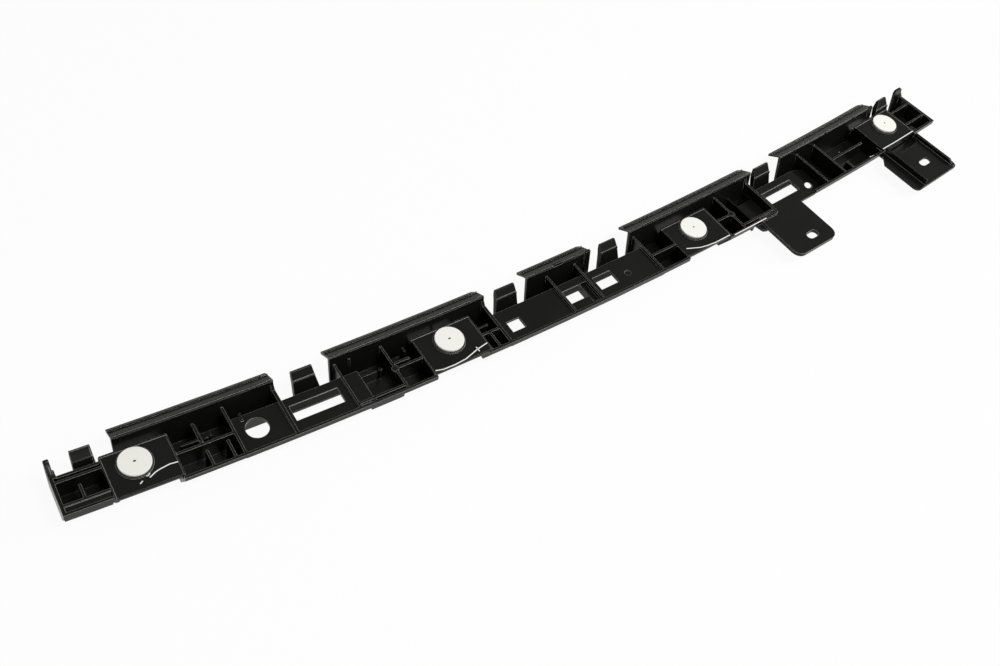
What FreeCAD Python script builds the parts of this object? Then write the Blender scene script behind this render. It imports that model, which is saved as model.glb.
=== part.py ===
import FreeCAD, Part
import os
import Sketcher

# Moulded bracket that carries the upper edge of a vehicle bumper cover.
# It follows a shallow arc. Every place is given in three ways:
# along (mm on the arc of the pad centres), inward (towards the arc's centre, the back) and height.
# The back edge carries five curved rails and six snap tongues, the top carries four round pads.

os.makedirs("parts", exist_ok=True)
V = FreeCAD.Vector
doc = FreeCAD.newDocument("mounting_bracket")
dims = doc.addObject("Spreadsheet::Sheet", "dims")

SIZES = {
    # the arc and the point of the foot that is the origin
    "arc_radius": 3565, "foot_line": 9,
    # heights above the surface that the bracket stands on
    "rib_top": 17, "deck_drop": 2, "rail_rise": 6.8, "rail_fall": 6.1, "tongue_bend": 18, "tongue_rise": 4.6,
    # wall thicknesses
    "plate_wall": 2.5, "deck_wall": 2, "skin": 1.8, "rib_wall": 1.6, "end_wall": 2.2, "tab_wall": 3,
    # the cross section
    "lip_front": -20.9, "lip_front_wide": -21.8, "lip_front_end": -17.4, "lip_drop": 3.4, "lip_drop_end": 4.8,
    "foot_front": -13.4, "foot_front_plate": -9.6, "step_face": 4.7, "rail_foot": 12.4, "rail_lean": 0.21, "rail_reach": 10.9,
    "bead_at": 0.7, "bead_rise": 0.8, "tongue_foot": 6.6, "tongue_lean": 0.4, "tongue_reach": 4.6,
    "back_low": 8.4, "arm_reach": 20.5, "arm_wall": 3.2,
    # raised plates with their pads
    "plate_front": -19, "plate_back": 11.5, "plate_drop": 8, "boss_radius": 11, "boss_rise": 1.1, "pad_radius": 10,
    "pad_wall": 1.4, "pad_edge": 0.3, "pad_hole": 0.7, "pad_1_at": -320, "pad_2_at": -105.6, "pad_3_at": 114.5,
    "pad_4_at": 346, "plate_1_left": 18, "plate_1_right": 23.6, "plate_2_left": 22.9, "plate_2_right": 22.9,
    "plate_3_left": 22.5, "plate_3_right": 23, "plate_4_left": 25.4, "plate_4_right": 18,
    # cross walls, from the left end to the right end
    "end_left_at": -366, "wall_1_at": -259.6, "wall_2_at": -225.9, "wall_3_at": -182.8, "wall_4_at": -148.8,
    "wall_5_at": -68.3, "wall_6_at": -13, "wall_7_at": 12, "wall_8_at": 68.3, "wall_9_at": 152.8,
    "wall_10_at": 187.2, "wall_11_at": 250, "wall_12_at": 271.8, "end_right_at": 391.5,
    "deck_2_end": -172, "deck_5_start": 169.5, "deck_5_end": 233, "ramp_end": 265, "pit_start": 5, "pit_end": 11,
    "pit_front": -17, "open_edge_start": 178,
    # rails
    "rail_1_start": -327.8, "rail_1_end": -224.8, "rail_2_start": -186.1, "rail_2_end": -67.2,
    "rail_3_start": -30.8, "rail_3_end": 25.5, "rail_4_start": 63.9, "rail_4_end": 192.6,
    "rail_5_start": 228, "rail_5_end": 347, "post_width": 10,
    # tongues
    "tongue_1_at": -355.6, "tongue_2_at": -214.6, "tongue_3_at": -61.2, "tongue_4_at": 32, "tongue_5_at": 195,
    "tongue_6_at": 352, "tongue_width": 19, "tongue_width_end": 15, "tongue_nip": 3.5,
    # openings in the deck
    "slot_front": -11.2, "slot_back": 0.5, "slot_2_start": -222, "slot_2_end": -188.5, "slot_3_start": -10.5,
    "slot_3_end": 4, "slot_4_start": 16.8, "slot_4_end": 32.8, "slot_5_start": 191.6, "slot_5_end": 224.2,
    "window_start": -61.5, "window_end": -50.7, "window_front": -12.6, "window_back": -3.4,
    "hole_at": -245.7, "hole_inward": -5.5, "hole_radius": 7.4, "pin_hole_at": 232.8, "pin_hole_inward": -12.5,
    "pin_hole_radius": 2.6, "dimple_at": 43.6, "dimple_inward": -7.7, "dimple_radius": 2.4,
    # mounting tabs
    "tab_slot_length": 11, "tab_slot_width": 6.6, "tab_corner": 7,
    "tab_1_start": 170.8, "tab_1_end": 215.2, "tab_1_front": -60.8, "tab_1_slot_at": 196.7, "tab_1_slot_inward": -50,
    "tab_2_start": 309.5, "tab_2_end": 370, "tab_2_front": -65, "tab_2_slot_at": 347.7, "tab_2_slot_inward": -44.9,
    "tray_drop": 3.6, "tray_rim": 2.4, "tray_floor_start": 328.5, "tray_floor_end": 362, "tray_skirt": 5,
    # small stiffening ribs inside the cells
    "spine_inward": -3.8, "spine_back_inward": 0, "spine_front_inward": -17.5, "knot_radius": 2.6,
}
for row, (alias, size) in enumerate(SIZES.items(), start=1):
    dims.set("A%d" % row, alias.replace("_", " "))
    dims.set("B%d" % row, str(size))
    dims.setAlias("B%d" % row, alias)
doc.recompute()


def turn(along):
    """Angle about the arc's centre, in degrees, for a place along the arc."""
    return "(%s) / dims.arc_radius * 180 / pi" % along


def place(item, along, inward="0", height="0"):
    angle = turn(along)
    item.setExpression("Placement.Base.x", "(dims.arc_radius - (%s)) * sin(%s)" % (inward, angle))
    item.setExpression("Placement.Base.y", "dims.arc_radius - dims.foot_line"
                       " - (dims.arc_radius - (%s)) * cos(%s)" % (inward, angle))
    item.setExpression("Placement.Base.z", height)
    item.setExpression("Placement.Rotation.Angle", angle)


def sketch(name, outline):
    """Closed straight-sided outline, each corner tied to the sheet."""
    drawn = doc.addObject("Sketcher::SketchObject", name)
    corners = [V(float(drawn.evalExpression(u)), float(drawn.evalExpression(v)), 0) for u, v in outline]
    count = len(corners)
    for i in range(count):
        drawn.addGeometry(Part.LineSegment(corners[i], corners[(i + 1) % count]))
    for i in range(count):
        drawn.addConstraint(Sketcher.Constraint("Coincident", i, 2, (i + 1) % count, 1))
    for i, (u, v) in enumerate(outline):
        first = drawn.addConstraint(Sketcher.Constraint("DistanceX", -1, 1, i, 1, corners[i].x))
        second = drawn.addConstraint(Sketcher.Constraint("DistanceY", -1, 1, i, 1, corners[i].y))
        drawn.setExpression("Constraints[%d]" % first, u)
        drawn.setExpression("Constraints[%d]" % second, v)
    return drawn


def sector(name, outline, start, end):
    """Cross section (inward, height) swept along the arc from start to end."""
    drawn = sketch(name + "_section", outline)
    drawn.Placement = FreeCAD.Placement(V(), FreeCAD.Rotation(V(0, 1, 0), V(0, 0, 1), V(1, 0, 0), "ZXY"))
    swept = doc.addObject("Part::Revolution", name)
    swept.Source = drawn
    swept.Axis = V(0, 0, 1)
    swept.Solid = True
    swept.setExpression("Base.y", "dims.arc_radius")
    swept.setExpression("Angle", turn("(%s) - (%s)" % (end, start)))
    place(swept, start)
    return swept


def block(name, start, end, front, back, low, high):
    return sector(name, [(front, low), (back, low), (back, high), (front, high)], start, end)


def across(name, outline, at, front, back):
    """Outline (along, height) drawn out straight from front to back."""
    drawn = sketch(name + "_section", outline)
    drawn.Placement = FreeCAD.Placement(V(), FreeCAD.Rotation(V(1, 0, 0), V(0, 0, 1), V(0, -1, 0), "ZXY"))
    solid = doc.addObject("Part::Extrusion", name)
    solid.Base = drawn
    solid.DirMode = "Custom"
    solid.Dir = V(0, 1, 0)
    solid.Solid = True
    solid.setExpression("LengthFwd", "(%s) - (%s)" % (back, front))
    place(solid, at, front)
    return solid


def round_post(name, along, inward, low, high, radius):
    post = doc.addObject("Part::Cylinder", name)
    post.setExpression("Radius", radius)
    post.setExpression("Height", "(%s) - (%s)" % (high, low))
    place(post, along, inward, low)
    return post


def joined(kind, name, shapes):
    group = doc.addObject(kind, name)
    group.Shapes = shapes
    return group


DECK_TOP = "dims.rib_top - dims.deck_drop"
DECK_LOW = "dims.rib_top - dims.deck_drop - dims.deck_wall"
LIP_LOW = "dims.rib_top - dims.lip_drop"
RAIL_TOP = "dims.rib_top + dims.rail_rise"
HALF_RIB = "dims.rib_wall / 2"


def rail_face(height):
    return "dims.rail_foot + dims.rail_lean * (%s)" % height


def trough(name, start, end, lip="dims.lip_front", drop="dims.lip_drop", back="dims.rail_foot + dims.skin",
           toe="dims.foot_front"):
    """Deep cell: upright lip, front wall that slopes in, and a floor at the foot."""
    low = "dims.rib_top - " + drop
    inner = lip + " + dims.skin"
    return sector(name, [
        (lip, "dims.rib_top"), (lip, low), (toe, "0"), (back, "0"), (back, "dims.skin"),
        (toe + " + dims.skin", "dims.skin"), (inner, low + " + dims.skin / 2"), (inner, "dims.rib_top")],
        start, end)


def deck(name, start, end, lip="dims.lip_front"):
    """Raised floor behind the lip, with the step wall that runs down from its back edge."""
    back = "dims.step_face + dims.skin"
    inner = lip + " + dims.skin"
    return sector(name, [
        (lip, "dims.rib_top"), (lip, DECK_LOW), ("dims.step_face", DECK_LOW), ("dims.step_face", "0"), (back, "0"),
        (back, DECK_TOP), (inner, DECK_TOP), (inner, "dims.rib_top")], start, end)


def foot(name, start, end):
    """Flange at the foot, between the step wall and the rail."""
    return block(name, start, end, "dims.step_face", "dims.rail_foot + dims.skin", "0", "dims.skin")


def rail(name, start, end):
    """Leaning wall with a flange that falls away to the back and a bead along the flange."""
    face = rail_face(RAIL_TOP)
    slope = "dims.rail_fall / dims.rail_reach"
    bead = face + " + dims.rail_reach * dims.bead_at"
    bead_low = RAIL_TOP + " - dims.rail_fall * dims.bead_at"
    return sector(name, [
        ("dims.rail_foot", "0"), ("dims.rail_foot + dims.skin", "0"),
        (face + " + dims.skin * 0.9", RAIL_TOP + " - dims.skin * 1.3"),
        (face + " + dims.rail_reach - dims.skin / 3", RAIL_TOP + " - dims.rail_fall - dims.skin"),
        (face + " + dims.rail_reach", RAIL_TOP + " - dims.rail_fall"),
        (bead + " + dims.bead_rise * 2", bead_low + " - dims.bead_rise * 2 * " + slope),
        (bead + " + dims.bead_rise / 2", bead_low + " + dims.bead_rise"),
        (bead, bead_low),
        (face + " + dims.skin", RAIL_TOP + " - dims.skin * " + slope),
        (face + " + dims.bead_rise", RAIL_TOP),
        (face + " - dims.bead_rise / 2", RAIL_TOP + " - dims.bead_rise"),
        (rail_face(RAIL_TOP + " - dims.bead_rise * 2.4"), RAIL_TOP + " - dims.bead_rise * 2.4")],
        start, end)


def cross_wall(name, at, wall="dims.rib_wall", lip="dims.lip_front", drop="dims.lip_drop"):
    """Full cross wall from the lip to the rail, down to the foot."""
    low = "dims.rib_top - " + drop
    middle = " + dims.skin / 2"
    return sector(name, [
        (lip + middle, "dims.rib_top"), (lip + middle, low), ("dims.foot_front" + middle, "0"),
        ("dims.rail_foot" + middle, "0"), (rail_face("dims.rib_top") + middle, "dims.rib_top")],
        "(%s) - %s / 2" % (at, wall), "(%s) + %s / 2" % (at, wall))


def closing_wall(name, at, lip="dims.lip_front"):
    """Cross wall that climbs to the underside of the rail, at the end of a rail."""
    middle = " + dims.skin / 2"
    climb = "dims.rib_top + dims.rail_rise - dims.skin"
    return sector(name, [
        (lip + middle, "dims.rib_top"), (lip + middle, LIP_LOW), ("dims.foot_front" + middle, "0"),
        ("dims.rail_foot" + middle, "0"), (rail_face(climb) + middle, climb),
        (rail_face("dims.rib_top") + " - dims.skin", "dims.rib_top")],
        "(%s) - dims.end_wall / 2" % at, "(%s) + dims.end_wall / 2" % at)


def tongue(name, start, width):
    """Snap arm that rises from the foot, leans back and ends in a hooked head."""
    bend = "dims.tongue_foot + dims.tongue_lean * dims.tongue_bend"
    top = "dims.tongue_bend + dims.tongue_rise"
    body = sector(name, [
        ("dims.tongue_foot - dims.skin", "0"), ("dims.tongue_foot + dims.skin", "0"),
        (bend + " + dims.skin", "dims.tongue_bend - dims.skin / 3"), (bend, "dims.tongue_bend + dims.skin / 3"),
        ("dims.tongue_foot + dims.tongue_lean * dims.skin", "dims.skin"), ("dims.tongue_foot - dims.skin", "dims.skin")],
        start, "(%s) + %s" % (start, width))
    head = sector(name + "_head", [
        (bend, "dims.tongue_bend - dims.skin / 3"), (bend + " + dims.skin", "dims.tongue_bend - dims.skin"),
        (bend + " + dims.skin * 1.9", "dims.tongue_bend + dims.skin / 4"),
        (bend + " + dims.tongue_reach + dims.skin / 2", top + " - dims.skin / 2"),
        (bend + " + dims.tongue_reach", top), (bend + " - dims.skin / 3", "dims.tongue_bend + dims.skin / 3")],
        "(%s) + dims.tongue_nip" % start, "(%s) + %s" % (start, width))
    return [body, head]


def spine(name, start, end, inward, low="dims.skin"):
    """Rib that runs along the arc inside a cell, flush with the cross walls, from half of low upwards."""
    return block(name, start, end, "(%s) - %s" % (inward, HALF_RIB), "(%s) + %s" % (inward, HALF_RIB),
                 low + " / 2", "dims.rib_top")


def stub(name, at, front, back):
    """Short cross rib between a spine and a wall."""
    return block(name, "(%s) - %s" % (at, HALF_RIB), "(%s) + %s" % (at, HALF_RIB), front, back,
                 "dims.skin / 2", "dims.rib_top")


def front_stub(name, at, back):
    """Short cross rib from the sloped front wall to a spine."""
    return sector(name, [
        ("dims.lip_front + dims.skin / 2", "dims.rib_top"), ("dims.lip_front + dims.skin / 2", LIP_LOW),
        ("dims.foot_front + dims.skin / 2", "dims.skin / 2"), (back, "dims.skin / 2"), (back, "dims.rib_top")],
        "(%s) - %s" % (at, HALF_RIB), "(%s) + %s" % (at, HALF_RIB))


def raised_plate(number, lip="dims.lip_front"):
    """Flat top on two side walls, with a round boss for its pad."""
    at = "dims.pad_%d_at" % number
    start = "%s - dims.plate_%d_left" % (at, number)
    end = "%s + dims.plate_%d_right" % (at, number)
    low = "dims.rib_top - dims.plate_wall"
    edge = "dims.plate_wall / 4"
    top = sector("plate_%d" % number, [
        ("dims.plate_front", low), ("dims.plate_back", low), ("dims.plate_back", "dims.rib_top - " + edge),
        ("dims.plate_back - " + edge, "dims.rib_top"), ("dims.plate_front + " + edge, "dims.rib_top"),
        ("dims.plate_front", "dims.rib_top - " + edge)], start, end)
    side = [("dims.plate_front", "dims.rib_top - dims.plate_wall / 2"), ("dims.plate_front", LIP_LOW),
            ("dims.foot_front_plate", "0"), ("dims.rail_foot + dims.skin / 2", "0"),
            (rail_face("dims.plate_drop") + " + dims.skin / 2", "dims.plate_drop"),
            ("dims.plate_back", low), ("dims.plate_back", "dims.rib_top - dims.plate_wall / 2")]
    left = sector("plate_%d_left_side" % number, side, start, start + " + dims.end_wall")
    right = sector("plate_%d_right_side" % number, side, end + " - dims.end_wall", end)
    front = sector("plate_%d_front_side" % number, [
        ("dims.plate_front + dims.skin / 2", low), ("dims.plate_front + dims.skin * 1.5", low),
        ("dims.foot_front_plate + dims.skin", "0"), ("dims.foot_front_plate", "0")], start, end)
    boss = round_post("plate_%d_boss" % number, at, "0", low, "dims.rib_top + dims.boss_rise", "dims.boss_radius")
    return [top, left, right, front, boss]


moulded = []

# left end cell
moulded += [
    trough("cell_left", "dims.end_left_at", "dims.pad_1_at - dims.plate_1_left", "dims.lip_front_end",
           "dims.lip_drop_end", "dims.back_low + dims.skin", "dims.foot_front_plate"),
    block("cell_left_back", "dims.end_left_at", "dims.pad_1_at - dims.plate_1_left", "dims.back_low",
          "dims.back_low + dims.skin", "0", "dims.rib_top"),
    sector("end_left", [
        ("dims.lip_front_end", "dims.rib_top"), ("dims.lip_front_end", "dims.rib_top - dims.lip_drop_end"),
        ("dims.foot_front_plate", "0"), ("dims.rail_foot + dims.skin", "0"),
        ("dims.arm_reach", "dims.rib_top + dims.boss_rise"), ("dims.arm_reach - dims.skin", "dims.rib_top + dims.skin * 2"),
        ("dims.back_low + dims.skin", "dims.rib_top")], "dims.end_left_at - dims.end_wall / 2",
        "dims.end_left_at + dims.end_wall / 2"),
    block("arm_left", "dims.end_left_at", "dims.end_left_at + dims.arm_wall", "dims.back_low", "dims.rail_foot + dims.skin",
          "0", "dims.rib_top"),
    spine("spine_left_back", "dims.end_left_at", "dims.pad_1_at - dims.plate_1_left", "5.3"),
    spine("spine_left_front", "dims.end_left_at", "dims.pad_1_at - dims.plate_1_left", "-11"),
    stub("stub_left", "-352.6", "-11", "-0.8"),
]

for number in (1, 2, 3, 4):
    moulded += raised_plate(number)

# deep cells
moulded += [
    trough("cell_1", "dims.pad_1_at + dims.plate_1_right - dims.rib_wall", "dims.wall_1_at", "dims.lip_front_wide"),
    trough("cell_2", "dims.deck_2_end", "dims.wall_4_at", "dims.lip_front_wide"),
    trough("cell_3", "dims.wall_4_at", "dims.pad_2_at - dims.plate_2_left + dims.rib_wall", "dims.lip_front_wide"),
    trough("cell_4", "dims.pad_2_at + dims.plate_2_right - dims.rib_wall", "dims.wall_5_at"),
    trough("cell_5", "dims.wall_8_at", "dims.pad_3_at - dims.plate_3_left + dims.rib_wall"),
    trough("cell_6", "dims.pad_3_at + dims.plate_3_right - dims.rib_wall", "dims.wall_9_at"),
    trough("cell_7", "dims.wall_9_at", "dims.wall_10_at"),
    trough("cell_8", "dims.deck_5_end", "dims.wall_12_at"),
    trough("pit_cell", "dims.pit_start", "dims.wall_7_at"),
    trough("cell_9", "dims.wall_12_at", "dims.pad_4_at - dims.plate_4_left + dims.rib_wall"),
    trough("cell_10", "dims.pad_4_at + dims.plate_4_right - dims.rib_wall", "dims.end_right_at"),
]

# raised decks, with the foot flange under the rails
moulded += [
    deck("deck_1", "dims.wall_1_at", "dims.wall_3_at", "dims.lip_front_wide"),
    deck("deck_2", "dims.wall_3_at", "dims.deck_2_end", "dims.lip_front_wide"),
    deck("deck_3", "dims.wall_5_at", "dims.wall_8_at"),
    block("deck_5_inner", "dims.deck_5_start", "dims.wall_10_at", "-16.3", "dims.step_face + dims.skin",
          DECK_LOW, DECK_TOP),
    block("deck_5_end_wall", "dims.deck_5_start", "dims.deck_5_start + dims.rib_wall", "-16.3",
          "dims.rail_foot + dims.skin", "dims.skin / 2", DECK_TOP),
    block("deck_5_flush", "dims.wall_10_at", "dims.deck_5_end", "dims.lip_front", "dims.step_face + dims.skin",
          DECK_LOW, DECK_TOP),
    block("deck_5_step", "dims.deck_5_start", "dims.deck_5_end", "dims.step_face", "dims.step_face + dims.skin",
          "0", DECK_TOP),
    foot("foot_1", "dims.wall_1_at", "dims.rail_1_end"),
    foot("foot_2", "dims.rail_2_start", "dims.deck_2_end"),
    foot("foot_3", "dims.rail_3_start", "dims.rail_3_end"),
    foot("foot_4", "dims.rail_4_start", "dims.wall_8_at"),
    foot("foot_5", "dims.deck_5_start", "dims.rail_4_end"),
    foot("foot_6", "dims.rail_5_start", "dims.deck_5_end"),
    foot("foot_plate_1", "dims.pad_1_at - dims.plate_1_left", "dims.pad_1_at + dims.plate_1_right"),
    foot("foot_plate_2", "dims.pad_2_at - dims.plate_2_left", "dims.pad_2_at + dims.plate_2_right"),
    foot("foot_plate_3", "dims.pad_3_at - dims.plate_3_left", "dims.pad_3_at + dims.plate_3_right"),
    foot("foot_plate_4", "dims.pad_4_at - dims.plate_4_left", "dims.pad_4_at + dims.plate_4_right"),
]

# cross walls
wide = {"lip": "dims.lip_front_wide"}
moulded += [
    cross_wall("wall_1", "dims.wall_1_at", **wide),
    closing_wall("wall_2", "dims.wall_2_at", **wide),
    cross_wall("wall_3", "dims.wall_3_at", **wide),
    cross_wall("deck_2_step", "dims.deck_2_end", **wide),
    cross_wall("wall_4", "dims.wall_4_at", **wide),
    closing_wall("wall_5", "dims.wall_5_at"),
    cross_wall("wall_6", "dims.wall_6_at"),
    cross_wall("wall_7", "dims.wall_7_at"),
    cross_wall("wall_8", "dims.wall_8_at"),
    cross_wall("wall_9", "dims.wall_9_at"),
    closing_wall("wall_10", "dims.wall_10_at"),
    cross_wall("wall_11", "dims.wall_11_at"),
    cross_wall("wall_12", "dims.wall_12_at"),
    closing_wall("end_right", "dims.end_right_at - dims.end_wall / 2"),
]

for number in (1, 2, 3, 4, 5):
    moulded.append(rail("rail_%d" % number, "dims.rail_%d_start" % number, "dims.rail_%d_end" % number))
moulded.append(sector("post_right", [
    ("dims.rail_foot", "0"), ("dims.rail_foot + dims.skin", "0"),
    (rail_face("dims.rib_top + dims.tongue_rise") + " + dims.skin", "dims.rib_top + dims.tongue_rise"),
    (rail_face("dims.rib_top + dims.tongue_rise"), "dims.rib_top + dims.tongue_rise")],
    "dims.end_right_at - dims.post_width", "dims.end_right_at"))

for number in (1, 2, 3, 4, 5, 6):
    width = "dims.tongue_width_end" if number == 1 else "dims.tongue_width"
    moulded += tongue("tongue_%d" % number, "dims.tongue_%d_at" % number, width)


# small ribs inside the cells: spines run along the arc, stubs cross it
moulded += [
    spine("spine_1", "dims.pad_1_at + dims.plate_1_right", "dims.wall_1_at", "dims.spine_inward"),
    stub("stub_1_back", "-280.3", "dims.spine_inward", "dims.rail_foot"),
    front_stub("stub_1_front", "-279.5", "-8.8"),
    front_stub("stub_1_corner", "-265.7", "-7.1"),
    spine("spine_3", "dims.wall_4_at", "dims.pad_2_at - dims.plate_2_left", "dims.spine_inward"),
    spine("spine_3_back", "dims.wall_4_at", "-136.3", "dims.spine_back_inward"),
    spine("spine_2_front", "dims.wall_3_at", "dims.wall_4_at", "dims.spine_front_inward", "dims.rib_top"),
    round_post("knot_1", "dims.wall_4_at", "dims.spine_inward", "0", "dims.rib_top", "dims.knot_radius"),
    spine("spine_4", "dims.pad_2_at + dims.plate_2_right", "dims.wall_5_at", "-6"),
    front_stub("stub_4", "-77", "-6"),
    spine("spine_5", "dims.wall_8_at", "dims.pad_3_at - dims.plate_3_left", "-4.7"),
    spine("spine_6", "dims.pad_3_at + dims.plate_3_right", "dims.wall_9_at", "-3.2"),
    round_post("knot_2", "dims.wall_9_at", "-3.4", "0", "dims.rib_top", "dims.knot_radius"),
    spine("spine_7", "dims.wall_9_at", "dims.wall_10_at", "-16.3", "dims.rib_top"),
    stub("stub_2_left", "-107.4", "dims.plate_back", "dims.rail_foot"),
    stub("stub_2_right", "-92", "dims.plate_back", "dims.rail_foot"),
    spine("spine_9", "dims.wall_12_at", "311", "-3.4"),
    stub("stub_9_back", "284.5", "-1.2", "9.7"),
    front_stub("stub_9_front", "282", "-11.2"),
    stub("stub_9_corner", "317.8", "11.8", "dims.rail_foot"),
    spine("spine_10_back", "dims.pad_4_at + dims.plate_4_right", "dims.end_right_at - dims.end_wall", "5.7"),
    spine("spine_10_front", "dims.pad_4_at + dims.plate_4_right", "dims.end_right_at - dims.end_wall", "-10.3"),
]

# the deck slopes down to the foot at the right of deck 5
ramp_run = "dims.ramp_end - dims.deck_5_end"
step_back = "dims.step_face + dims.skin"
ramp = doc.addObject("Part::MultiCommon", "ramp")
ramp.Shapes = [
    across("ramp_slab", [
        ("0", DECK_LOW), (ramp_run, "0"), (ramp_run, "dims.skin"), ("0", DECK_TOP)],
        "dims.deck_5_end", "dims.lip_front", step_back),
    sector("ramp_field", [
        ("dims.lip_front + dims.skin / 2", "dims.rib_top"), ("dims.lip_front + dims.skin / 2", LIP_LOW),
        ("dims.foot_front + dims.skin / 2", "0"), (step_back, "0"), (step_back, "dims.rib_top")],
        "dims.deck_5_end - dims.skin", "dims.ramp_end + dims.skin"),
]
moulded.append(ramp)


def tab(name, start, end, front, low, high):
    """Flat tab with two rounded corners at its free end."""
    corner = "dims.tab_corner"
    return [
        block(name + "_middle", "%s + %s" % (start, corner), "%s - %s" % (end, corner), front, "dims.foot_front",
              low, high),
        block(name + "_root", start, end, "%s + %s" % (front, corner), "dims.foot_front", low, high),
        round_post(name + "_corner_left", "%s + %s" % (start, corner), "%s + %s" % (front, corner), low, high, corner),
        round_post(name + "_corner_right", "%s - %s" % (end, corner), "%s + %s" % (front, corner), low, high, corner),
    ]


def slot(name, at, inward, low, high):
    """Round-ended slot along the arc."""
    radius = "dims.tab_slot_width / 2"
    reach = "(dims.tab_slot_length - dims.tab_slot_width) / 2"
    return [
        block(name + "_middle", "%s - %s" % (at, reach), "%s + %s" % (at, reach), "%s - %s" % (inward, radius),
              "%s + %s" % (inward, radius), low, high),
        round_post(name + "_left", "%s - %s" % (at, reach), inward, low, high, radius),
        round_post(name + "_right", "%s + %s" % (at, reach), inward, low, high, radius),
    ]


TRAY_LOW = DECK_LOW + " - dims.tray_drop"
TRAY_TOP = DECK_TOP + " - dims.tray_drop"
moulded += tab("tab_1", "dims.tab_1_start", "dims.tab_1_end", "dims.tab_1_front", DECK_TOP + " - dims.tab_wall", DECK_TOP)
moulded += tab("tray", "dims.tab_2_start", "dims.tab_2_end", "dims.tab_2_front", TRAY_LOW, DECK_TOP)
blank = joined("Part::MultiFuse", "blank", moulded)

# everything that is cut out of the blank
through = "dims.skin + dims.bead_rise"
cuts = [
    block("tray_recess", "dims.tray_floor_start", "dims.tray_floor_end", "dims.tab_2_front + dims.tray_rim",
          "dims.plate_front", TRAY_TOP, "dims.rib_top - dims.plate_wall"),
    round_post("datum_hole", "dims.hole_at", "dims.hole_inward", through, DECK_TOP + " + dims.skin", "dims.hole_radius"),
    round_post("pin_hole", "dims.pin_hole_at", "dims.pin_hole_inward", through, DECK_TOP + " + dims.skin",
               "dims.pin_hole_radius"),
    round_post("dimple", "dims.dimple_at", "dims.dimple_inward", DECK_TOP + " - dims.deck_wall / 2",
               DECK_TOP + " + dims.skin", "dims.dimple_radius"),
    block("pit", "dims.pit_start", "dims.pit_end", "dims.pit_front", "dims.slot_back", through, DECK_TOP + " + dims.skin"),
    block("window", "dims.window_start", "dims.window_end", "dims.window_front", "dims.window_back", through,
          DECK_TOP + " + dims.skin"),
]
for number in (2, 3, 4, 5):
    cuts.append(block("deck_slot_%d" % number, "dims.slot_%d_start" % number, "dims.slot_%d_end" % number,
                      "dims.slot_front", "dims.slot_back", through, DECK_TOP + " + dims.skin"))
for number in (1, 2):
    cuts += slot("tab_slot_%d" % number, "dims.tab_%d_slot_at" % number, "dims.tab_%d_slot_inward" % number,
                 "0", DECK_TOP + " + dims.skin")

bracket = doc.addObject("Part::Cut", "bracket")
bracket.Base = blank
bracket.Tool = joined("Part::MultiFuse", "cuts", cuts)
bracket.Label = "bracket"
pieces = [bracket]

# round pads, each seated on the face of its boss
for number in (1, 2, 3, 4):
    section = sketch("pad_section_%d" % number, [
        ("dims.pad_hole", "0"), ("dims.pad_radius", "0"), ("dims.pad_radius", "dims.pad_wall - dims.pad_edge"),
        ("dims.pad_radius - dims.pad_edge", "dims.pad_wall"), ("dims.pad_hole", "dims.pad_wall")])
    section.Placement = FreeCAD.Placement(V(), FreeCAD.Rotation(V(1, 0, 0), 90))
    pad = doc.addObject("Part::Revolution", "pad_%d" % number)
    pad.Source = section
    pad.Axis = V(0, 0, 1)
    pad.Angle = 360
    pad.Solid = True
    place(pad, "dims.pad_%d_at" % number, "0", "dims.rib_top + dims.boss_rise")
    pad.Label = "pad_%d" % number
    pieces.append(pad)

doc.recompute()
for item in doc.Objects:
    if "Invalid" in item.State or "Error" in item.State:
        raise ValueError("%s did not build" % item.Name)
for item in pieces:
    if item.Shape.isNull() or not item.Shape.isValid() or item.Shape.Volume <= 0:
        raise ValueError("%s has no sound shape" % item.Label)
    if len(item.Shape.Solids) != 1:
        raise ValueError("%s is %d solids" % (item.Label, len(item.Shape.Solids)))
for item in pieces:
    item.Shape.exportStep("parts/%s.step" % item.Label)
print("volume", round(bracket.Shape.Volume), bracket.Shape.BoundBox)
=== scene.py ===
import math
import bmesh
import bpy
from mathutils import Matrix, Vector


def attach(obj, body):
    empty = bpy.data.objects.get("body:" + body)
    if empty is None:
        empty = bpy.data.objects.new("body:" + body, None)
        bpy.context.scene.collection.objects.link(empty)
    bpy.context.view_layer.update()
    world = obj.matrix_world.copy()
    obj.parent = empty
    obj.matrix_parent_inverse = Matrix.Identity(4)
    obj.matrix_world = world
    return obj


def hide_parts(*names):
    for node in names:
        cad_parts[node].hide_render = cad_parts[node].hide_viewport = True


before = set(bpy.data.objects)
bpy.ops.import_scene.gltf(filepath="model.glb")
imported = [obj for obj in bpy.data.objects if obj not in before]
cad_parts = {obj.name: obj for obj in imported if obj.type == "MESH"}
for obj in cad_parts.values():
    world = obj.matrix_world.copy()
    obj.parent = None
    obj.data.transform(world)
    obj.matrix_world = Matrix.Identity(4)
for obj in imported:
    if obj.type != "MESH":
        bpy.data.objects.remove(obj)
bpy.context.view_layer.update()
scene = bpy.context.scene
print("bracket loaded")

# camera of the photograph: where it stands from the arc's centre, its height, and how it looks down and leans
photoCamera = {
    "fromCentre": (2.563951, -3.010076), "height": 0.6511, "yaw": 46.9605, "down": 50.7568, "roll": 14.804,
    "lens": 44.0647, "sensor": 36.0, "near": 0.01, "far": 20.0, "arcRadius": 3.565448, "footLine": 0.009}


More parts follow.
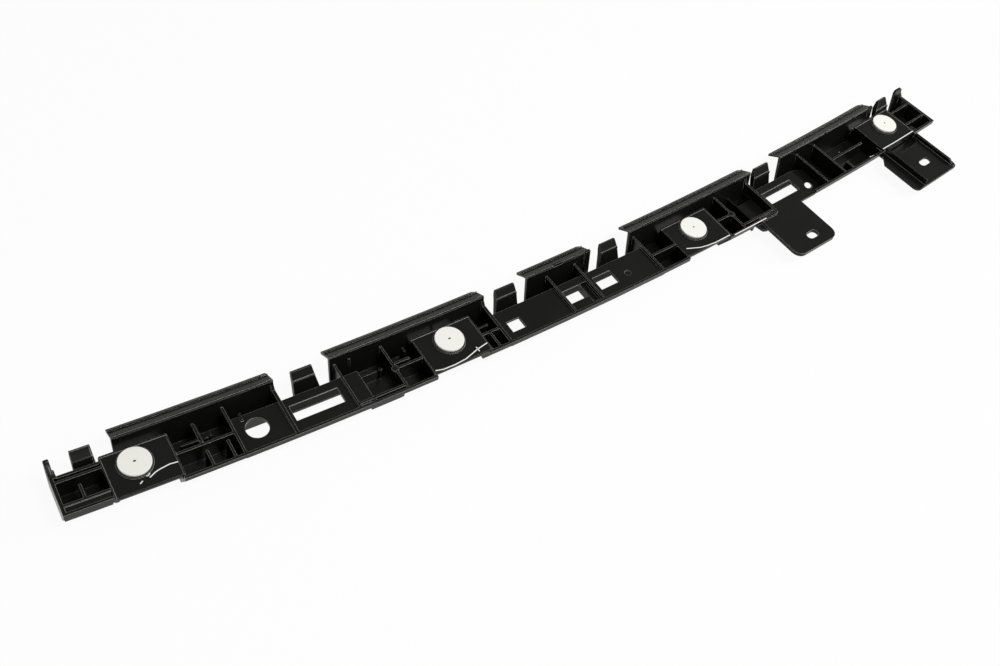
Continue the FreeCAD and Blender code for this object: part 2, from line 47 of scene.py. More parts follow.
def makeCamera(look):
    data = bpy.data.cameras.new("photoCamera")
    camera = bpy.data.objects.new("photoCamera", data)
    scene.collection.objects.link(camera)
    turn = Matrix.Rotation(-math.radians(look["yaw"]), 4, "Z")
    down, roll = math.radians(look["down"]), math.radians(look["roll"])
    lean = Matrix.Rotation(math.pi / 2 - down, 4, "X") @ Matrix.Rotation(roll, 4, "Z")
    eye = turn @ Vector((*look["fromCentre"], 0.0))
    eye.y += look["arcRadius"] - look["footLine"]
    eye.z = look["height"]
    camera.matrix_world = Matrix.Translation(eye) @ turn @ lean
    data.lens, data.sensor_width = look["lens"], look["sensor"]
    data.clip_start, data.clip_end = look["near"], look["far"]
    scene.camera = camera
    return camera


camera = makeCamera(photoCamera)
print("camera at", [round(v, 4) for v in camera.location])

# black moulded plastic: cloudy gloss, fine grain, and a painted highlight lightening its raised edges
moulding = {
    "colour": (0.0055, 0.0055, 0.0048), "darkest": 0.8, "lightest": 1.3, "toneFrom": 0.3, "toneTo": 0.75,
    "roughness": 0.28, "roughnessSpread": 0.07, "specular": 0.24, "cloudScale": 30.0, "cloudDetail": 4.0,
    "grainScale": 900.0, "grainDetail": 2.0, "grainBump": 0.12, "grainDepth": 0.0002,
    # the pale edge colour below is a painted highlight, strongest on edges above the raised height
    "edgeRadius": 0.0006, "edgeSamples": 6, "paintedHighlightColour": (0.50, 0.49, 0.45), "paintedHighlightShare": 0.85,
    "paintedHighlightTurn": (0.95, 0.74), "paintedHighlightFrom": (0.010, 0.0125), "paintedHighlightBelow": 0.08}
# pale soft pads
padFinish = {
    "colour": (0.93, 0.92, 0.86), "darkest": 0.97, "roughness": 0.5, "specular": 0.4, "mottleScale": 120.0}


def startMaterial(name, look):
    material = bpy.data.materials.new(name)
    material.use_nodes = True
    nodes, links = material.node_tree.nodes, material.node_tree.links
    shader = nodes["Principled BSDF"]
    shader.inputs["Specular IOR Level"].default_value = look["specular"]
    where = nodes.new("ShaderNodeTexCoord")
    return material, nodes, links, shader, where


def addNoise(nodes, links, where, scale, detail=2.0):
    noise = nodes.new("ShaderNodeTexNoise")
    noise.inputs["Scale"].default_value = scale
    noise.inputs["Detail"].default_value = detail
    links.new(where.outputs["Object"], noise.inputs["Vector"])
    return noise


def addRamp(nodes, links, noise, colour, darkest, lightest):
    tone = nodes.new("ShaderNodeValToRGB")
    tone.color_ramp.elements[0].color = (*[c * darkest for c in colour], 1)
    tone.color_ramp.elements[1].color = (*[c * lightest for c in colour], 1)
    links.new(noise.outputs["Fac"], tone.inputs["Fac"])
    return tone


def addPaintedEdgeHighlight(look, nodes, links, where, rounded):
    # painted highlight on the edges: how far an edge turns the surface, counted only where it is raised
    face = nodes.new("ShaderNodeNewGeometry")
    turned = nodes.new("ShaderNodeVectorMath")
    turned.operation = "DOT_PRODUCT"
    links.new(rounded.outputs["Normal"], turned.inputs[0])
    links.new(face.outputs["Normal"], turned.inputs[1])
    highlightByTurn = nodes.new("ShaderNodeMapRange")
    highlightByTurn.inputs["From Min"].default_value, highlightByTurn.inputs["From Max"].default_value = look["paintedHighlightTurn"]
    highlightByTurn.inputs["To Max"].default_value = look["paintedHighlightShare"]
    links.new(turned.outputs["Value"], highlightByTurn.inputs["Value"])
    apart = nodes.new("ShaderNodeSeparateXYZ")
    links.new(where.outputs["Object"], apart.inputs["Vector"])
    raised = nodes.new("ShaderNodeMapRange")
    raised.inputs["From Min"].default_value, raised.inputs["From Max"].default_value = look["paintedHighlightFrom"]
    raised.inputs["To Min"].default_value = look["paintedHighlightBelow"]
    links.new(apart.outputs["Z"], raised.inputs["Value"])
    paintedEdgeHighlight = nodes.new("ShaderNodeMath")
    paintedEdgeHighlight.operation = "MULTIPLY"
    links.new(highlightByTurn.outputs["Result"], paintedEdgeHighlight.inputs[0])
    links.new(raised.outputs["Result"], paintedEdgeHighlight.inputs[1])
    return paintedEdgeHighlight


def makeMoulding(look):
    material, nodes, links, shader, where = startMaterial("blackMoulding", look)
    cloud = addNoise(nodes, links, where, look["cloudScale"], look["cloudDetail"])
    tone = addRamp(nodes, links, cloud, look["colour"], look["darkest"], look["lightest"])
    tone.color_ramp.elements[0].position = look["toneFrom"]
    tone.color_ramp.elements[1].position = look["toneTo"]
    gloss = nodes.new("ShaderNodeMapRange")
    gloss.inputs["To Min"].default_value = look["roughness"] - look["roughnessSpread"]
    gloss.inputs["To Max"].default_value = look["roughness"] + look["roughnessSpread"]
    links.new(cloud.outputs["Fac"], gloss.inputs["Value"])
    links.new(gloss.outputs["Result"], shader.inputs["Roughness"])
    grain = addNoise(nodes, links, where, look["grainScale"], look["grainDetail"])
    bump = nodes.new("ShaderNodeBump")
    bump.inputs["Strength"].default_value = look["grainBump"]
    bump.inputs["Distance"].default_value = look["grainDepth"]
    links.new(grain.outputs["Fac"], bump.inputs["Height"])
    rounded = nodes.new("ShaderNodeBevel")
    rounded.samples = look["edgeSamples"]
    rounded.inputs["Radius"].default_value = look["edgeRadius"]
    links.new(rounded.outputs["Normal"], bump.inputs["Normal"])
    links.new(bump.outputs["Normal"], shader.inputs["Normal"])
    # painted highlight: a pale colour mixed into the base colour along the raised edges
    paintedEdgeHighlight = addPaintedEdgeHighlight(look, nodes, links, where, rounded)
    toneWithPaintedHighlight = nodes.new("ShaderNodeMix")
    toneWithPaintedHighlight.data_type = "RGBA"
    toneWithPaintedHighlight.inputs["B"].default_value = (*look["paintedHighlightColour"], 1)
    links.new(paintedEdgeHighlight.outputs["Value"], toneWithPaintedHighlight.inputs["Factor"])
    links.new(tone.outputs["Color"], toneWithPaintedHighlight.inputs["A"])
    links.new(toneWithPaintedHighlight.outputs["Result"], shader.inputs["Base Color"])
    return material


def makePadFinish(look):
    material, nodes, links, shader, where = startMaterial("creamPad", look)
    shader.inputs["Roughness"].default_value = look["roughness"]
    mottle = addNoise(nodes, links, where, look["mottleScale"])
    tone = addRamp(nodes, links, mottle, look["colour"], look["darkest"], 1.0)
    links.new(tone.outputs["Color"], shader.inputs["Base Color"])
    return material


blackMoulding = makeMoulding(moulding)
creamPad = makePadFinish(padFinish)


def paint(piece, material):
    for place in piece.material_slots:
        place.material = material
    if not piece.material_slots:
        piece.data.materials.append(material)


for name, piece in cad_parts.items():
    paint(piece, creamPad if name.startswith("pad") else blackMoulding)
print("finishes on", len(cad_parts), "pieces")

# the moulding follows an arc: a spot is along it, inward from the pad line, and a height above the floor, all in mm
arc = {"radius": 3.565, "footLine": 0.009, "stretch": 14.0, "mm": 0.001, "weld": 0.000002}
arcCentre = Vector((0.0, arc["radius"] - arc["footLine"], 0.0))
# how edges are broken: width in mm, steps, and from which angle an edge counts
softening = {"edge": 0.3, "steps": 2, "cornerSteps": 8, "roundSides": 32, "swept": 0.5, "flat": 0.9, "lofted": 0.35}
ribTop = 17.0


def spot(along, inward, height):
    reach = arc["radius"] - inward * arc["mm"]
    turned = along * arc["mm"] / arc["radius"]
    return Vector((reach * math.sin(turned), arcCentre.y - reach * math.cos(turned), height * arc["mm"]))


def soften(bm, edge, keen):
    bmesh.ops.recalc_face_normals(bm, faces=bm.faces)
    if edge:
        sharp = [e for e in bm.edges if len(e.link_faces) == 2 and e.calc_face_angle() > keen]
        bmesh.ops.bevel(
            bm, geom=sharp, offset=edge * arc["mm"], segments=softening["steps"], profile=0.5, affect="EDGES",
            material=-1, clamp_overlap=True)
    return bm


def sweep(outline, start, end, edge=softening["edge"]):
    # outline of (inward, height), turned about the arc's centre
    bm = bmesh.new()
    corners = [bm.verts.new(spot(start, inward, height)) for inward, height in outline]
    face = bm.faces.new(corners)
    bmesh.ops.spin(
        bm, geom=[face, *face.edges, *corners], cent=arcCentre, axis=(0, 0, 1),
        angle=(end - start) * arc["mm"] / arc["radius"], steps=max(1, round((end - start) / arc["stretch"])))
    return soften(bm, edge, softening["swept"])


def bar(start, end, front, back, low, high, edge=softening["edge"]):
    return sweep([(front, low), (back, low), (back, high), (front, high)], start, end, edge)


def raiseFace(bm, shift):
    risen = bmesh.ops.extrude_face_region(bm, geom=list(bm.faces))
    bmesh.ops.translate(bm, verts=[v for v in risen["geom"] if isinstance(v, bmesh.types.BMVert)], vec=shift)


def slab(plan, low, high, rounded=(), corner=0.0, edge=softening["edge"]):
    # plan of (along, inward), with some of its corners rounded
    bm = bmesh.new()
    corners = [bm.verts.new(spot(along, inward, low)) for along, inward in plan]
    bm.faces.new(corners)
    if corner:
        bmesh.ops.bevel(
            bm, geom=[corners[i] for i in rounded], offset=corner * arc["mm"], segments=softening["cornerSteps"],
            profile=0.5, affect="VERTICES", material=-1)
    raiseFace(bm, (0, 0, (high - low) * arc["mm"]))
    return soften(bm, edge, softening["flat"])


def post(along, inward, low, high, radius, lean=(0.0, 0.0), edge=softening["edge"]):
    bm = bmesh.new()
    bmesh.ops.create_circle(bm, cap_ends=True, radius=radius * arc["mm"], segments=softening["roundSides"])
    bmesh.ops.translate(bm, verts=bm.verts, vec=spot(along, inward, low))
    raiseFace(bm, spot(along + lean[0], inward + lean[1], high) - spot(along, inward, low))
    return soften(bm, edge, softening["flat"])


def loft(rings, edge=softening["edge"]):
    bm = bmesh.new()
    caps = []
    for ring in rings:
        caps.append(bm.faces.new([bm.verts.new(spot(*place)) for place in ring]))
    bmesh.ops.bridge_loops(bm, edges=[e for face in caps for e in face.edges])
    return soften(bm, edge, softening["lofted"])


def gather(name, parts):
    whole = bmesh.new()
    for bm in parts:
        passing = bpy.data.meshes.new("passing")
        bm.to_mesh(passing)
        bm.free()
        whole.from_mesh(passing)
        bpy.data.meshes.remove(passing)
    mesh = bpy.data.meshes.new(name)
    whole.to_mesh(mesh)
    whole.free()
    return mesh


def carve(bm, ways):
    # takes each way out of the solid, one after the other
    mesh = gather("carved", [bm])
    for way in ways:
        piece = bpy.data.objects.new("blank", mesh)
        cutter = bpy.data.objects.new("way", gather("way", [way]))
        scene.collection.objects.link(piece)
        scene.collection.objects.link(cutter)
        cut = piece.modifiers.new("way", "BOOLEAN")
        cut.operation, cut.solver, cut.object = "DIFFERENCE", "EXACT", cutter
        bpy.context.view_layer.update()
        mesh = bpy.data.meshes.new_from_object(piece.evaluated_get(bpy.context.evaluated_depsgraph_get()))
        bpy.data.objects.remove(piece)
        bpy.data.objects.remove(cutter)
    carved = bmesh.new()
    carved.from_mesh(mesh)
    return carved


def copyOfNode(name):
    bm = bmesh.new()
    bm.from_mesh(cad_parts[name].data)
    bmesh.ops.remove_doubles(bm, verts=bm.verts, dist=arc["weld"])
    return bm


# snap tongues: left edge at the bend, width, how much wider the foot is at each side, the nip of the top left corner,
# the top, and where the plain solid's own tongue is taken off
tongues = {
    "bend": 18.0, "sectionTop": 22.6, "headFrom": 18.5, "edge": 0.35, "each": [
        {"left": -352.4, "width": 12.6, "foot": (0.2, 1.6), "nip": 0.4, "top": 22.6, "old": (-355.9, -352.4)},
        {"left": -212.8, "width": 15.1, "foot": (0.6, 4.2), "nip": 0.5, "top": 22.6, "old": (-214.9, -195.3)},
        {"left": -58.2, "width": 17.1, "foot": (2.0, 0.6), "nip": 1.6, "top": 22.6, "old": (-61.5, -41.9)},
        {"left": 34.9, "width": 15.6, "foot": (3.2, 1.9), "nip": 2.0, "top": 22.6, "old": (31.7, 51.3)},
        {"left": 195.0, "width": 18.4, "foot": (1.0, 0.3), "nip": 4.0, "top": 23.9, "old": (194.7, 214.3)},
        {"left": 351.8, "width": 16.8, "foot": (0.5, 1.0), "nip": 8.0, "top": 23.9, "old": (351.7, 371.3)}],
    "section": [
        (6.2, 0.3), (7.3, 1.8), (13.8, 18.0), (18.4, 22.6), (20.2, 21.6), (18.6, 18.7), (16.8, 15.8), (10.4, 0.3)],
    "ridge": [(12.8, 17.3), (13.9, 16.8), (14.6, 18.3), (13.5, 18.9)], "ridgeInset": 0.2, "ridgeEdge": 0.25,
    "way": [(7.0, 1.9), (13.0, 17.5), (13.0, 19.5), (18.0, 24.5), (22.0, 23.0), (17.0, 16.4), (9.8, 1.9)],
    "firstWay": [
        (10.3, 7.0), (12.6, 17.1), (12.9, 19.5), (18.0, 24.5), (22.0, 23.0), (16.5, 16.4), (12.5, 7.0)]}


def tongueRing(look, isLeft):
    bend, rise = tongues["bend"], tongues["sectionTop"] - tongues["bend"]
    ring = []
    for inward, height in tongues["section"]:
        wide = max(0.0, 1.0 - height / bend) * look["foot"][0 if isLeft else 1]
        aboveBend = (height - bend) / rise
        high = height if height < tongues["headFrom"] else bend + aboveBend * (look["top"] - bend)
        if isLeft:
            along = look["left"] - wide + look["nip"] * max(0.0, aboveBend)
        else:
            along = look["left"] + look["width"] + wide
        ring.append((along, inward, high))
    return ring


def makeTongues():
    return [loft([tongueRing(look, True), tongueRing(look, False)], tongues["edge"]) for look in tongues["each"]]


def makeRidges():
    # a light ridge along each tongue's bend
    parts = []
    for look in tongues["each"]:
        start, end = look["left"] + tongues["ridgeInset"], look["left"] + look["width"] - tongues["ridgeInset"]
        parts.append(sweep(tongues["ridge"], start, end, tongues["ridgeEdge"]))
    return parts


# what comes off the plain solid, in this order. A bar is start, end, front, back, low, high
takenOff = {
    "tab": [
        (308.5, 319.9, -66.5, -20.95, -1, 16),     # the tab at the right, up to the lip
        (319.9, 364.2, -66.5, -19.05, -1, 16),
        (364.2, 371.5, -66.5, -20.95, -1, 16)],
    "bay": {
        "outline": [(-16.6, 15.0), (6.6, 15.0), (6.6, 2.0), (12.75, 2.0), (15.95, 17.6), (-16.6, 17.6)],
        "start": -173.2, "end": -170.9},
    "middle": [
        (4.6, 11.15, -13.0, 4.65, -1, 2.4),        # floor under the third slot
        (-7.2, 0.8, 14.0, 20.2, 22.4, 26.0)],      # notch in the short rail
    "deepCell": {
        "outline": [(-15.4, 8.5), (14.1, 8.5), (15.95, 17.6), (-15.4, 17.6)], "start": 169.0, "end": 186.35},
    "walls": [
        (309.2, 320.4, -23.0, -12.4, 8.8, 15.4),   # front of the cell before the last plate
        (283.6, 285.4, -0.4, 9.9, 1.9, 17.6),      # rib behind that cell's spine
        (-362.7, -338.3, 8.3, 10.3, 15.9, 17.6)],  # top of the left cell's back wall
    # back corners of the rails: end of the rail and radius
    "railCorners": [(-224.8, 1.5), (-67.2, 4.0), (25.5, 3.5), (192.6, 4.0), (347.0, 4.0)],
    "railBack": 28.4, "railLow": 12.0, "railHigh": 26.0, "railSpill": 2.0, "railSteps": 6,
    "pinWay": {"along": 232.8, "inward": -12.5, "low": 15.6, "high": -1.0, "radius": 3.2, "lean": (17.6, 9.0)},
    # way down through the last slot, as a ring at its top and one at the floor
    "slotWay": [
        [(191.8, -10.9, 12.9), (224.2, -10.9, 12.9), (224.2, -2.8, 12.9), (191.8, -2.8, 12.9)],
        [(206.4, -3.4, -1.0), (238.8, -3.4, -1.0), (238.8, 4.6, -1.0), (206.4, 4.6, -1.0)]]}


def cornerWay(look, end, radius):
    back, spill, steps = look["railBack"], look["railSpill"], look["railSteps"]
    plan = [(end - radius, back + spill)]
    for step in range(steps + 1):
        turned = math.pi / 2 * (1 - step / steps)
        plan.append((end - radius + radius * math.cos(turned), back - radius + radius * math.sin(turned)))
    plan += [(end + spill, back - radius), (end + spill, back + spill)]
    return slab(plan, look["railLow"], look["railHigh"], edge=0)


def waysOff(look):
    ways = []
    for i, tongue in enumerate(tongues["each"]):
        ways.append(sweep(tongues["firstWay" if i == 0 else "way"], *tongue["old"], edge=0))
    ways += [bar(*sides, edge=0) for sides in look["tab"]]
    ways.append(sweep(edge=0, **look["bay"]))
    ways += [bar(*sides, edge=0) for sides in look["middle"]]
    ways += [cornerWay(look, end, radius) for end, radius in look["railCorners"]]
    ways += [post(edge=0, **look["pinWay"]), loft(look["slotWay"], 0), sweep(edge=0, **look["deepCell"])]
    ways += [bar(*sides, edge=0) for sides in look["walls"]]
    return ways


# the tab at the right: a tray with a ridge at its left, a rim at its right and front, and a gutter at its root
tray = {
    "plan": [(314.2, -29.0), (314.2, -64.0), (370.3, -64.0), (370.3, -20.0), (323.0, -20.0)],
    "low": 10.1, "high": 11.6, "rounded": (1, 2), "corner": 5.0,
    "slot": {"start": 345.4, "end": 351.0, "front": -48.5, "back": -42.3}, "slotRadius": 3.1,
    "cutLow": 5, "cutHigh": 20, "gutterWay": (327.0, 365.2, -27.0, -18.0),
    "rim": [(-62.4, 10.3), (-19.2, 10.3), (-19.2, 15.0), (-57.0, 15.0), (-60.2, 12.6), (-62.4, 12.6)],
    "rimStart": 365.3, "rimEnd": 367.5, "ridge": (325.3, 326.7, -62.4, -19.0, 7.0, 17.0, 0.35),
    "bars": [
        (320.0, 365.0, -64.0, -63.0, 10.3, 12.6, 0.25),  # front rim
        (324.5, 371.0, -28.3, -12.0, 6.1, 7.6, 0.2),     # floor of the gutter
        (326.0, 366.5, -28.3, -26.9, 6.1, 11.5, 0.2)]}   # its front wall


def makeTray(look):
    slot, low, high = look["slot"], look["cutLow"], look["cutHigh"]
    middle = (slot["front"] + slot["back"]) / 2
    ways = [bar(low=low, high=high, edge=0, **slot)]
    ways += [post(slot[end], middle, low, high, look["slotRadius"], edge=0) for end in ("start", "end")]
    ways.append(bar(*look["gutterWay"], low, high, 0))
    plate = slab(look["plan"], look["low"], look["high"], look["rounded"], look["corner"])
    rim = sweep(look["rim"], look["rimStart"], look["rimEnd"])
    return [carve(plate, ways), bar(*look["ridge"]), rim, *[bar(*sides) for sides in look["bars"]]]


# the deck and the cells. A bar is start, end, front, back, low, high and the width of its broken edges
cells = {
    # ledges behind the deck slots: start, end and front
    "ledges": [(-222.6, -187.9, -4.0), (-10.5, 4.6, -2.8), (16.2, 33.6, -2.8), (191.2, 224.8, -2.8)],
    "ledgeBack": 1.2, "ledgeTop": 14.95, "ledgeLip": 13.6, "ledgeLow": 12.5, "ledgeEdge": 0.25,
    "bars": [
        (4.4, 11.6, -18.0, 1.6, 10.8, 12.4, 0),           # shallow channel beside the seventh wall
        (-172.4, -149.4, -17.6, 1.0, 4.4, 6.0, 0.2),      # floor of the bay beside the fourth wall
        (-172.6, -159.5, 0.4, 2.0, 4.4, 15.0, 0.35),
        (-172.8, -149.0, -18.3, -16.7, 4.4, 17.0, 0.35)],
    # round posts: along, inward, low, high and radius
    "posts": [(-156.8, 1.2, 4.4, 15.0, 1.3), (-148.8, -3.7, 1.0, 17.05, 1.9), (152.8, -3.3, 1.0, 17.05, 1.9)],
    # the wing at the root of the first tab
    "wing": {
        "plan": [(165.6, -19.0), (167.0, -26.2), (171.5, -28.0), (173.7, -19.0)], "low": 10.8, "high": 13.0,
        "rounded": (1, 2), "corner": 1.2}}


def makeCells(look):
    parts = []
    for start, end, front in look["ledges"]:
        parts.append(sweep([
            (look["ledgeBack"], look["ledgeTop"]), (front, look["ledgeLip"]), (front, look["ledgeLow"]),
            (look["ledgeBack"], look["ledgeLow"])], start, end, look["ledgeEdge"]))
    parts += [bar(*sides) for sides in look["bars"]]
    parts += [post(*place) for place in look["posts"]]
    parts.append(slab(**look["wing"]))
    return parts


# inside the cells. A bar is as before, and a small rib is start, end, front, back and low
innerWalls = {
    "bars": [
        (169.5, 187.0, -16.3, 6.5, 7.0, 8.5, 0.2),          # floor of the deep cell beside the tenth wall
        (169.5, 171.1, -16.3, 6.5, 7.0, 9.2, 0.25),
        (-364.8, -338.2, -16.4, -10.6, 12.0, 16.2, 0.25)],  # shelf behind the lip of the left cell
    # front wall of the cell before the last plate
    "front": {
        "outline": [(-20.9, 17.0), (-20.9, 13.6), (-13.4, 0.0), (-11.6, 0.0), (-19.1, 14.5), (-19.1, 17.0)],
        "start": 308.6, "end": 321.2, "edge": 0.2},
    "ribs": [
        (-292.3, -279.6, -0.5, 1.1, 1.0), (-280.4, -278.8, -2.3, 11.2, 1.0), (-277.8, -274.9, -1.0, 0.6, 1.0),
        (-274.2, -272.6, -0.4, 1.9, 1.0), (-252.8, -251.2, 2.5, 7.8, 14.0), (-137.1, -135.5, 5.5, 9.4, 1.0),
        (-82.9, -74.6, -0.7, 0.9, 1.0)]}


def makeInnerWalls(look):
    parts = [bar(*sides) for sides in look["bars"]]
    parts.append(sweep(**look["front"]))
    return parts + [bar(*sides, ribTop) for sides in look["ribs"]]


# rails: stretches of the front bead, small studs on it, the two beads behind it and the end strips
rails = {
    "frontBead": [(16.0, 23.1), (17.6, 22.6), (18.0, 23.9), (16.3, 24.2)], "frontEdge": 0.25,
    "frontStretches": [
        (-326.0, -241.0), (-236.0, -226.0), (-173.0, -149.5), (-140.4, -79.0), (-28.0, -24.5), (-17.0, -8.0),
        (2.0, 11.2), (21.8, 25.0), (75.9, 138.8), (148.8, 173.8)],
    "studs": (244.8, 285.2, 321.9), "studReach": 1.0,
    "backBead": [(24.6, 19.9), (25.5, 19.4), (26.1, 20.2), (25.2, 20.8)], "backEdge": 0.3,
    "topBead": [(17.6, 23.5), (18.6, 23.2), (18.7, 23.9), (17.7, 24.15)], "topEdge": 0.2,
    "spans": [(-327.4, -229.0), (-185.7, -72.0), (-30.4, 21.0), (64.3, 187.5), (228.4, 342.5)],
    "endStrip": [(12.0, 2.0), (13.0, 2.0), (17.6, 22.9), (18.4, 24.2), (16.4, 24.2)],
    "endSpans": [(20.9, 25.7), (342.4, 347.2)], "endEdge": 0.3}


def makeRailBeads(look):
    reach = look["studReach"]
    parts = [sweep(look["frontBead"], start, end, look["frontEdge"]) for start, end in look["frontStretches"]]
    for start, end in look["spans"]:
        parts.append(sweep(look["backBead"], start, end, look["backEdge"]))
        parts.append(sweep(look["topBead"], start, end, look["topEdge"]))
    parts += [sweep(look["frontBead"], at - reach, at + reach, look["frontEdge"]) for at in look["studs"]]
    parts += [sweep(look["endStrip"], start, end, look["endEdge"]) for start, end in look["endSpans"]]
    return parts


# raised plates: the pad's place and how far the plate reaches to its left and right
plates = {
    "each": [(-320.0, 18.0, 23.6), (-105.6, 22.9, 22.9), (114.5, 22.5, 23.0), (346.0, 25.4, 18.0)],
    "backFrom": 11.2, "back": 12.5, "low": 14.5, "corner": 1.2,
    "rimWide": 0.9, "rimFront": -18.9, "rimBack": 10.2, "rimLow": 16.6, "rimHigh": 17.45, "rimEdge": 0.2}


def makePlates(look):
    parts = []
    for at, left, right in look["each"]:
        start, end = at - left, at + right
        back = [(start, look["backFrom"]), (end, look["backFrom"]), (end, look["back"]), (start, look["back"])]
        parts.append(slab(back, look["low"], ribTop, (2, 3), look["corner"]))
        for rim in (start, end - look["rimWide"]):
            parts.append(bar(
                rim, rim + look["rimWide"], look["rimFront"], look["rimBack"], look["rimLow"], look["rimHigh"],
                look["rimEdge"]))
    return parts


# dark fills in the holes of the pads, and a dark slit patch at the centre of the first two: partly the black boss
# seen through, partly painted shade in the openings
darkHoleFills = {
    "holeFillsAt": (-320.0, -105.6, 114.5, 346.0), "holeFill": {"low": 18.0, "high": 19.3, "radius": 0.64, "edge": 0.1},
    "slitsAt": (-320.0, -105.6), "long": 1.0, "wide": 0.45, "corner": 0.4, "low": 19.3, "high": 19.54}


def makeDarkHoleFills(look):
    long, wide = look["long"], look["wide"]
    # black posts filling the pad holes: painted shade of the holes over the black boss beneath
    parts = [post(at, 0.0, **look["holeFill"]) for at in look["holeFillsAt"]]
    for at in look["slitsAt"]:
        slit = [(at - long, -wide), (at + long, -wide), (at + long, wide), (at - long, wide)]
        # a black patch on the pad standing for the slit: painted shade of the opening
        parts.append(slab(slit, look["low"], look["high"], (0, 1, 2, 3), look["corner"], edge=0))
    return parts


# the leaning post at the right end, as its front and its thickness, and the arm at the left end
ends = {
    "postFront": [
        (381.0, 12.2, 0.3), (391.5, 12.2, 0.3), (391.5, 16.9, 22.8), (389.9, 17.2, 24.2), (382.8, 17.2, 24.2),
        (381.0, 16.9, 22.8)],
    "postFoot": 2.6, "postHead": 2.3, "postBend": 1.0, "postEdge": 0.35,
    "arm": {
        "outline": [
            (9.5, 14.0), (9.5, 17.0), (13.0, 17.6), (16.0, 19.4), (18.3, 21.2), (20.2, 20.9), (20.7, 18.4),
            (14.2, 2.0), (12.5, 2.0)],
        "start": -367.1, "end": -363.7, "edge": 0.7}}


def makeEnds(look):
    postBack = []
    for along, inward, height in look["postFront"]:
        thick = look["postFoot"] if height < look["postBend"] else look["postHead"]
        postBack.append((along, inward + thick, height))
    return [sweep(**look["arm"]), loft([look["postFront"], postBack], look["postEdge"])]


def makeBracket():
    kept = carve(copyOfNode("bracket"), waysOff(takenOff))
    print("plain solid carved,", len(kept.faces), "faces")
    mesh = gather("mouldedBracket", [
        kept, *makeTray(tray), *makeTongues(), *makeCells(cells), *makeRailBeads(rails), *makePlates(plates),
        *makeRidges(), *makeDarkHoleFills(darkHoleFills), *makeInnerWalls(innerWalls), *makeEnds(ends)])
    mesh.shade_flat()
    piece = bpy.data.objects.new("mouldedBracket", mesh)
    scene.collection.objects.link(piece)
    piece.data.materials.append(blackMoulding)
    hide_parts("bracket")
    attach(piece, "root")
    return piece


bracket = makeBracket()
print("bracket moulded,", len(bracket.data.polygons), "faces")

# painted highlights: thin pale strokes near the front edges of the plates and on the lip, each a run of (along,
# inward)
paintedHighlightRuns = {"wide": 0.7, "thick": 0.12, "sunk": 0.05, "runs": [
    [(-315.7, -12.7), (-311.9, -10.7), (-308.5, -9.7), (-302.2, -8.8), (-297.4, -9.3)],
    [(-317.6, -9.9), (-316.3, -11.4), (-314.6, -9.7)],
    [(-322.1, -14.5), (-320.1, -13.2)],
    [(-126.5, -16.9), (-121.1, -18.3), (-112.5, -18.5), (-103.6, -17.8), (-92.2, -14.5), (-83.6, -13.0)],
    [(-92.2, -12.6), (-92.1, -16.6)],
    [(96.7, -12.3), (106.7, -16.5), (113.0, -17.8), (120.8, -18.6), (136.0, -18.6)],
    [(139.6, -20.4), (154.1, -20.4), (174.4, -20.4)],
    [(321.4, -18.4), (336.8, -18.7), (352.1, -18.7), (363.6, -18.7)]]}


def makePaintedHighlights(look):
    parts = []
    for run in look["runs"]:
        for first, second in zip(run, run[1:]):
            start, end = Vector(first), Vector(second)
            away = (end - start).normalized()
            sideways = Vector((-away.y, away.x)) * look["wide"] / 2
            stroke = [start - sideways, end - sideways, end + sideways, start + sideways]
            # each stroke is a thin pale strip in the pad material: a painted highlight along a front fold
            parts.append(slab(stroke, ribTop - look["sunk"], ribTop + look["thick"], edge=0))
    piece = bpy.data.objects.new("paintedHighlightStrokes", gather("paintedHighlightStrokes", parts))
    scene.collection.objects.link(piece)
    piece.data.materials.append(creamPad)
    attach(piece, "root")


makePaintedHighlights(paintedHighlightRuns)
print("pale marks laid")

# the pale floor and the soft light
studio = {
    "floorSize": 6.0, "floorColour": (0.8, 0.8, 0.79), "floorRoughness": 0.9, "floorGlow": 0.94, "white": 1.0,
    "worldLight": 0.32, "lamps": [
        {"name": "keyLamp", "place": (0.35, -0.75, 1.8), "size": (0.9, 0.4), "power": 25.0},
        {"name": "fillLamp", "place": (1.5, -0.6, 0.9), "size": (0.8, 0.4), "power": 8.0}]}


def addRays(nodes, links, kinds):
    # 1 for any of these kinds of ray
    ray = nodes.new("ShaderNodeLightPath")
    total = ray.outputs[kinds[0]]
    for kind in kinds[1:]:
        either = nodes.new("ShaderNodeMath")
        either.operation, either.use_clamp = "ADD", True
        links.new(total, either.inputs[0])
        links.new(ray.outputs[kind], either.inputs[1])
        total = either.outputs["Value"]
    return total


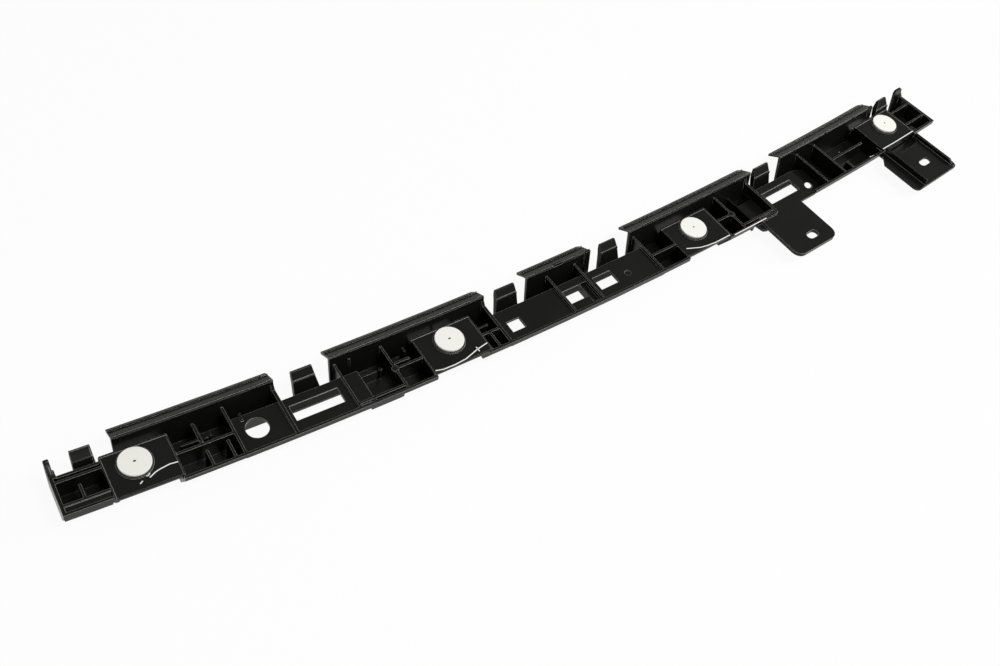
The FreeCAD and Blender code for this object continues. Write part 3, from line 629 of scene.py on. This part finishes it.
def makeFloor(look):
    bpy.ops.mesh.primitive_plane_add(size=look["floorSize"])
    floor = bpy.context.object
    floor.name = "paleFloor"
    material = bpy.data.materials.new("paleFloor")
    material.use_nodes = True
    nodes, links = material.node_tree.nodes, material.node_tree.links
    shader, output = nodes["Principled BSDF"], nodes["Material Output"]
    shader.inputs["Base Color"].default_value = (*look["floorColour"], 1)
    shader.inputs["Roughness"].default_value = look["floorRoughness"]
    glow = nodes.new("ShaderNodeEmission")
    glow.inputs["Strength"].default_value = look["white"]
    seen = addRays(nodes, links, ["Is Camera Ray", "Is Glossy Ray", "Is Transmission Ray"])
    share = nodes.new("ShaderNodeMath")
    share.operation = "MULTIPLY"
    share.inputs[1].default_value = look["floorGlow"]
    links.new(seen, share.inputs[0])
    mix = nodes.new("ShaderNodeMixShader")
    links.new(share.outputs["Value"], mix.inputs["Fac"])
    links.new(shader.outputs["BSDF"], mix.inputs[1])
    links.new(glow.outputs["Emission"], mix.inputs[2])
    links.new(mix.outputs["Shader"], output.inputs["Surface"])
    floor.data.materials.append(material)


def makeLamps(look):
    for lamp in look["lamps"]:
        data = bpy.data.lights.new(lamp["name"], "AREA")
        data.shape = "RECTANGLE"
        data.size, data.size_y = lamp["size"]
        data.energy = lamp["power"]
        made = bpy.data.objects.new(lamp["name"], data)
        made.location = lamp["place"]
        made.rotation_mode = "QUATERNION"
        made.rotation_quaternion = (-Vector(lamp["place"])).to_track_quat("-Z", "Y")
        scene.collection.objects.link(made)


def makeWorld(look):
    world = bpy.data.worlds.new("studio")
    scene.world = world
    world.use_nodes = True
    nodes, links = world.node_tree.nodes, world.node_tree.links
    background = nodes["Background"]
    background.inputs["Color"].default_value = (1, 1, 1, 1)
    level = nodes.new("ShaderNodeMix")
    level.data_type = "FLOAT"
    level.inputs["A"].default_value = look["worldLight"]
    level.inputs["B"].default_value = look["white"]
    links.new(addRays(nodes, links, ["Is Camera Ray", "Is Transmission Ray"]), level.inputs["Factor"])
    links.new(level.outputs["Result"], background.inputs["Strength"])


makeFloor(studio)
makeLamps(studio)
makeWorld(studio)
scene.view_settings.view_transform = "Standard"
print("floor and lamps in place")
